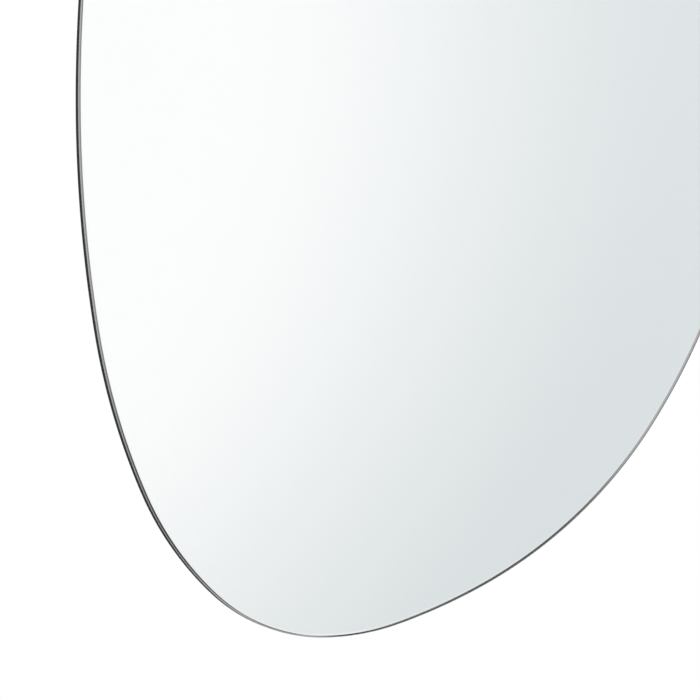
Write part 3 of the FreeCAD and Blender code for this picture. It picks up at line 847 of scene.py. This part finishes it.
def make_screws(hangers, sizes, finish):
    """All the countersunk screws: a flat head with a cross recess, a shank and a point."""
    low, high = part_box(hangers[0].screws[0])
    leaf = hangers[0].bar_height - sizes.loop_bore
    former = Former("countersunk_screw")
    head, shank = former.size("Head radius", sizes.head_radius), former.size(
        "Shank radius", sizes.shank_radius)
    point = former.size("Length", high[1] - low[1])
    tip = former.size("Tip length", sizes.tip_length)
    soft = former.size("Rounding", sizes.edge_rounding)
    body = former.turned([
        (0.0, -point, 0.0),
        (shank, tip - point, soft),
        (shank, shank - head, soft),
        (head, 0.0, soft),
        (0.0, 0.0, 0.0),
    ], former.steps("Sides", sizes.round_steps), former.steps("Bend steps", SCREW_BEND_STEPS))
    depth = former.size("Recess depth", sizes.recess_depth)
    arm, half = former.size("Recess arm", sizes.recess_arm), former.size(
        "Recess half width", sizes.recess_half)
    blade = former.node("GeometryNodeMeshCone", None, {
        "Vertices": 4, "Radius Bottom": BLADE_TOP, "Radius Top": BLADE_FOOT,
        "Depth": depth * 2.0})
    blade = former.node("GeometryNodeTransform", None, {
        "Geometry": blade, "Rotation": Euler((0.0, 0.0, QUARTER / 2)),
        "Translation": former.node("ShaderNodeCombineXYZ", None, {"Z": -depth})})
    for long, wide in ((arm, half), (half, arm)):
        cutter = former.node("GeometryNodeTransform", None, {
            "Geometry": blade, "Scale": former.node("ShaderNodeCombineXYZ", None, {
                "X": long, "Y": wide, "Z": 1.0})})
        body = former.node("GeometryNodeMeshBoolean",
                           {"operation": "DIFFERENCE", "solver": "EXACT"},
                           {"Mesh 1": body, "Mesh 2": cutter})
    seats = [(hanger.spot(2 * leaf, sizes.screw_drop + sizes.screw_pitch * number),
              hanger.turn + SCREW_TURN * (len(hangers) * number + index))
             for index, hanger in enumerate(hangers) for number in range(len(SCREW_SEATS))]
    piece = former.make("countersunk_screws", former.at_seats(former.stand(body)), finish,
                        seat_base(seats))
    piece.data.set_sharp_from_angle(angle=SHARP_METAL)
    declare(piece, MIRROR_BODY, "screw_steel",
            *(screw for hanger in hangers for screw in hanger.screws))


# a bumper's taper as a share of its height, and its dish's radii as shares of its face
BUMPER_TAPER = 0.25
DISH_RIM = 0.70
DISH_FLOOR = 0.62
GLUE_STEP = 0.3 * MM
FOOT_ROUNDING = 0.1 * MM
RIM_ROUNDING = 1.0 * MM
DISH_RIM_ROUNDING = 0.25 * MM
DISH_FLOOR_ROUNDING = 0.35 * MM


def make_bumpers(sizes, finish):
    """All the wall bumpers: a glue disc and a tapered pad with a rounded rim and a dished face."""
    boxes = [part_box("bumper_" + place) for place in BUMPER_PLACES]
    low, high = boxes[0]
    base_radius, height = (high[0] - low[0]) / 2, high[1] - low[1]
    former = Former("wall_bumper")
    base = former.size("Base radius", base_radius)
    face = former.size("Face radius", base_radius - height * BUMPER_TAPER)
    top, glue = former.size("Height", height), former.size("Glue", sizes.glue_height)
    dish, step = former.size("Dish", sizes.dish_depth), former.size("Step", GLUE_STEP)
    pad = former.turned([
        (0.0, 0.0, 0.0),
        (base - step, 0.0, 0.0),
        (base - step, glue, 0.0),
        (base, glue, FOOT_ROUNDING),
        (face, top, RIM_ROUNDING),
        (face * DISH_RIM, top, DISH_RIM_ROUNDING),
        (face * DISH_FLOOR, top - dish, DISH_FLOOR_ROUNDING),
        (0.0, top - dish, 0.0),
    ], former.steps("Sides", sizes.round_steps * 2), former.steps("Bend steps", sizes.bend_steps))
    seats = [(((low[0] + high[0]) / 2, low[1], (low[2] + high[2]) / 2), 0.0)
             for low, high in boxes]
    piece = former.make("wall_bumpers", former.at_seats(former.stand(pad)), finish,
                        seat_base(seats))
    piece.data.set_sharp_from_angle(angle=SHARP_PAD)
    declare(piece, MIRROR_BODY, "soft_bumper", *("bumper_" + place for place in BUMPER_PLACES))


# ---------------------------------------------------------------- the stage

CENTRE_OF_VIEW = Vector((-0.0668, -0.02297, -0.2059))
VIEW_AZIMUTH = -13.0
VIEW_ELEVATION = -0.2
VIEW_DISTANCE = 3.4
VIEW_WIDTH = 0.595
SENSOR = 36.0


def direction(azimuth, elevation):
    """Unit vector away from the mirror: azimuth 0 is straight ahead of it, 90 to its right."""
    turn, rise = math.radians(azimuth), math.radians(elevation)
    return Vector((math.sin(turn) * math.cos(rise), -math.cos(turn) * math.cos(rise),
                   math.sin(rise)))


def make_camera():
    """A long lens a little to the left of the mirror, level with the picture's centre."""
    lens = bpy.data.cameras.new("camera")
    lens.sensor_width = SENSOR
    lens.lens = SENSOR * VIEW_DISTANCE / VIEW_WIDTH
    camera = add_object("camera", lens)
    back = direction(VIEW_AZIMUTH, VIEW_ELEVATION)
    camera.location = CENTRE_OF_VIEW + back * VIEW_DISTANCE
    camera.rotation_euler = back.to_track_quat("Z", "Y").to_euler()
    bpy.context.scene.camera = camera


# surroundings, from low to high: sine of the elevation and level
DIM_AROUND = ((-0.7, 0.55), (0.9, 0.36))
# soft lights and dark flags: azimuth, elevation, core and rim in degrees, level
SOFTBOXES = (
    (-62, 24, 12, 34, 1.0),
    (68, 20, 10, 34, 0.95),
    (150, 35, 14, 36, 1.0),
    (-128, 20, 12, 34, 0.95),
    (0, 86, 18, 50, 0.9),
)
FLAGS = (
    (28.0, 7.8, 2.4, 7.5, 0.02),
    (24.5, 11.8, 1.0, 4.5, 0.03),
    (20.5, 15.6, 0.5, 5.0, 0.13),
    (18.0, 17.1, 0.5, 2.8, 0.06),
    (9.0, 18.9, 2.4, 6.2, 0.0),
    (3.4, 17.6, 3.6, 8.2, 0.0),
)
# the screen that the face shows: azimuth, elevation, core and rim in degrees, its lit tone, and
# where that tone fades to the far one, which runs from low to high by the elevation's sine
SCREEN = (13.0, 0.2, 9.0, 14.5)
SCREEN_LIT = (1.016, 1.017, 1.027, 1.0)
SCREEN_FADE = (2.8, 5.0, 8.25, 15.2)
SCREEN_FAR = ((-0.076, (0.725, 0.765, 0.778, 1.0)), (0.100, (0.770, 0.808, 0.825, 1.0)))
PLAIN_LIGHT = 0.62


class Studio(Graph):
    """What metal and glass see round them, painted by direction."""

    def __init__(self, world):
        world.use_nodes = True
        super().__init__(world.node_tree)
        self.heading = self.node("ShaderNodeTexCoord", out="Generated")
        self.up = self.level("ShaderNodeSeparateXYZ", None, {"Vector": self.heading}, "Z")
        (low, low_level), (high, high_level) = DIM_AROUND
        self.picture = self.mix(
            self.smooth_step(self.up, low, high), grey(low_level), grey(high_level))

    def away_from(self, azimuth, elevation):
        """Angle in degrees between the ray and a direction."""
        cosine = Level(self, self.vector_math(
            "DOT_PRODUCT", self.heading, direction(azimuth, elevation), out="Value"))
        return self.math("ARCCOSINE", cosine) * math.degrees(1.0)

    def disc(self, azimuth, elevation, core, rim, tone):
        """A round patch of a tone, soft between its core and its rim."""
        mask = self.smooth_step(self.away_from(azimuth, elevation), rim, core)
        self.picture = self.mix(mask, self.picture, tone)


def make_world():
    """White to the camera, the studio to metal and glass, plain light to everything else."""
    world = bpy.data.worlds.new("studio")
    bpy.context.scene.world = world
    studio = Studio(world)
    for azimuth, elevation, core, rim, level in SOFTBOXES + FLAGS:
        studio.disc(azimuth, elevation, core, rim, grey(level))
    (low, low_tone), (high, high_tone) = SCREEN_FAR
    end = studio.mix(studio.smooth_step(studio.up, low, high), low_tone, high_tone)
    azimuth, elevation, near, away = SCREEN_FADE
    far = studio.smooth_step(studio.away_from(azimuth, elevation), near, away)
    studio.disc(*SCREEN, studio.mix(far, SCREEN_LIT, end))
    ray = studio.tree.nodes.new("ShaderNodeLightPath")
    shiny = studio.math("MAXIMUM", ray.outputs["Is Glossy Ray"],
                        ray.outputs["Is Transmission Ray"])
    seen = studio.mix(shiny, grey(PLAIN_LIGHT), studio.picture)
    seen = studio.mix(ray.outputs["Is Camera Ray"], seen, grey(1.0))
    background = studio.node("ShaderNodeBackground", None, {"Color": seen, "Strength": 1.0})
    studio.node("ShaderNodeOutputWorld", None, {"Surface": background})


LAMP_DISTANCE = 2.8
LAMP_SIZE = 1.5
LAMP_POWER = 26.0


def make_lamps():
    """One soft area lamp for each softbox that the studio shows."""
    for index, (azimuth, elevation, _, _, level) in enumerate(SOFTBOXES):
        lamp = bpy.data.lights.new(f"softbox_{index}", "AREA")
        lamp.shape = "DISK"
        lamp.size = LAMP_SIZE
        lamp.energy = LAMP_POWER * level
        holder = add_object(lamp.name, lamp)
        holder.location = direction(azimuth, elevation) * LAMP_DISTANCE
        holder.rotation_euler = direction(azimuth, elevation).to_track_quat("Z", "Y").to_euler()
        holder.visible_glossy = False
        holder.visible_transmission = False


FLOOR_LEVEL = -0.78
FLOOR_RADIUS = 2.2
FLOOR_SIDES = 96
FLOOR_TONE = 0.9
FLOOR_LIFT = 0.25


def make_floor():
    """A pale floor that takes the mirror's shadow and is white to the camera."""
    mesh = bpy.data.meshes.new("floor")
    plan = bmesh.new()
    bmesh.ops.create_circle(plan, cap_ends=True, segments=FLOOR_SIDES, radius=FLOOR_RADIUS,
                            matrix=Matrix.Translation((0, 0, FLOOR_LEVEL)))
    plan.to_mesh(mesh)
    plan.free()
    floor = add_object("floor", mesh)
    pale = Finish("pale_floor", Base_Color=grey(FLOOR_TONE), Roughness=0.9)
    ray = pale.tree.nodes.new("ShaderNodeLightPath")
    lift = pale.node("ShaderNodeEmission", None, {"Color": grey(1.0), "Strength": FLOOR_LIFT})
    lit = pale.node("ShaderNodeAddShader", None, {0: pale.shader.outputs[0], 1: lift})
    seen = pale.node("ShaderNodeMixShader", None, {
        0: ray.outputs["Is Camera Ray"], 1: pale.shader.outputs[0], 2: lit})
    shown = pale.node("ShaderNodeMixShader", None, {
        0: ray.outputs["Is Glossy Ray"], 1: seen, 2: pale.node("ShaderNodeBsdfTransparent")})
    pale.tree.links.new(shown, pale.output.inputs["Surface"])
    mesh.materials.append(pale.material)


# ---------------------------------------------------------------- operators

class MIRROR_OT_glass(bpy.types.Operator):
    """Form the glass and dress its silvering and the safety film"""

    bl_idname = "mirror.glass"
    bl_label = "Glass"

    def execute(self, context):
        sizes, looks = context.scene.mirror_sizes, context.scene.mirror_finishes
        plate = make_glass(sizes, glass_finish(looks))
        declare(plate, MIRROR_BODY, "clear_glass", "mirror_glass")
        dress(NODES["silver_coating"], silver_finish(looks))
        dress(NODES["safety_film"], film_finish(looks))
        return {"FINISHED"}


class MIRROR_OT_backing(bpy.types.Operator):
    """Form the edge band and dress the board and the tapes"""

    bl_idname = "mirror.backing"
    bl_label = "Backing"

    def execute(self, context):
        sizes, looks = context.scene.mirror_sizes, context.scene.mirror_finishes
        dress(NODES["backing_board"], board_finish(looks))
        band = make_band(sizes, band_finish(looks))
        declare(band, MIRROR_BODY, "dark_band", "board_edge_band")
        foam = foam_finish(looks)
        dress(NODES["perimeter_tape"], foam)
        for place in STRIP_PLACES:
            dress(NODES["mounting_strip_" + place], foam)
        return {"FINISHED"}


class MIRROR_OT_hangers(bpy.types.Operator):
    """Form the folded straps, the wire rings and the screws"""

    bl_idname = "mirror.hangers"
    bl_label = "Hangers"

    def execute(self, context):
        sizes, looks = context.scene.mirror_sizes, context.scene.mirror_finishes
        hangers = [Hanger(place) for place in HANGER_PLACES]
        make_straps(hangers, sizes, zinc_finish(looks))
        make_rings(hangers, sizes, nickel_finish(looks))
        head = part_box(hangers[0].screws[0])[1][1]
        make_screws(hangers, sizes, screw_finish(looks, head))
        return {"FINISHED"}


class MIRROR_OT_bumpers(bpy.types.Operator):
    """Form the wall bumpers"""

    bl_idname = "mirror.bumpers"
    bl_label = "Wall bumpers"

    def execute(self, context):
        sizes, looks = context.scene.mirror_sizes, context.scene.mirror_finishes
        make_bumpers(sizes, bumper_finish(looks))
        return {"FINISHED"}


class MIRROR_OT_stage(bpy.types.Operator):
    """Make the camera, the studio, its lamps and the floor"""

    bl_idname = "mirror.stage"
    bl_label = "Stage"

    def execute(self, context):
        context.scene.view_settings.view_transform = "Standard"
        make_camera()
        make_world()
        make_lamps()
        make_floor()
        return {"FINISHED"}


OPERATORS = (
    MIRROR_OT_glass, MIRROR_OT_backing, MIRROR_OT_hangers, MIRROR_OT_bumpers, MIRROR_OT_stage,
)


class MIRROR_PT_sidebar(bpy.types.Panel):
    """The mirror's steps and colours"""

    bl_idname = "MIRROR_PT_sidebar"
    bl_label = "Pebble Mirror"
    bl_space_type = "VIEW_3D"
    bl_region_type = "UI"
    bl_category = "Mirror"

    def draw(self, context):
        for operator in OPERATORS:
            self.layout.operator(operator.bl_idname)
        for group in (context.scene.mirror_sizes, context.scene.mirror_finishes):
            for name in group.bl_rna.properties.keys():
                if name not in ("rna_type", "name"):
                    self.layout.prop(group, name)


CLASSES = (MirrorSizes, MirrorFinishes, *OPERATORS, MIRROR_PT_sidebar)


def register():
    for each in CLASSES:
        bpy.utils.register_class(each)
    bpy.types.Scene.mirror_sizes = bpy.props.PointerProperty(type=MirrorSizes)
    bpy.types.Scene.mirror_finishes = bpy.props.PointerProperty(type=MirrorFinishes)


def unregister():
    del bpy.types.Scene.mirror_finishes
    del bpy.types.Scene.mirror_sizes
    for each in reversed(CLASSES):
        bpy.utils.unregister_class(each)


def main():
    """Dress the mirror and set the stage."""
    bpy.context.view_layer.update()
    register()
    bpy.ops.mirror.glass()
    bpy.ops.mirror.backing()
    bpy.ops.mirror.hangers()
    bpy.ops.mirror.bumpers()
    bpy.ops.mirror.stage()


if __name__ == "__main__":
    main()
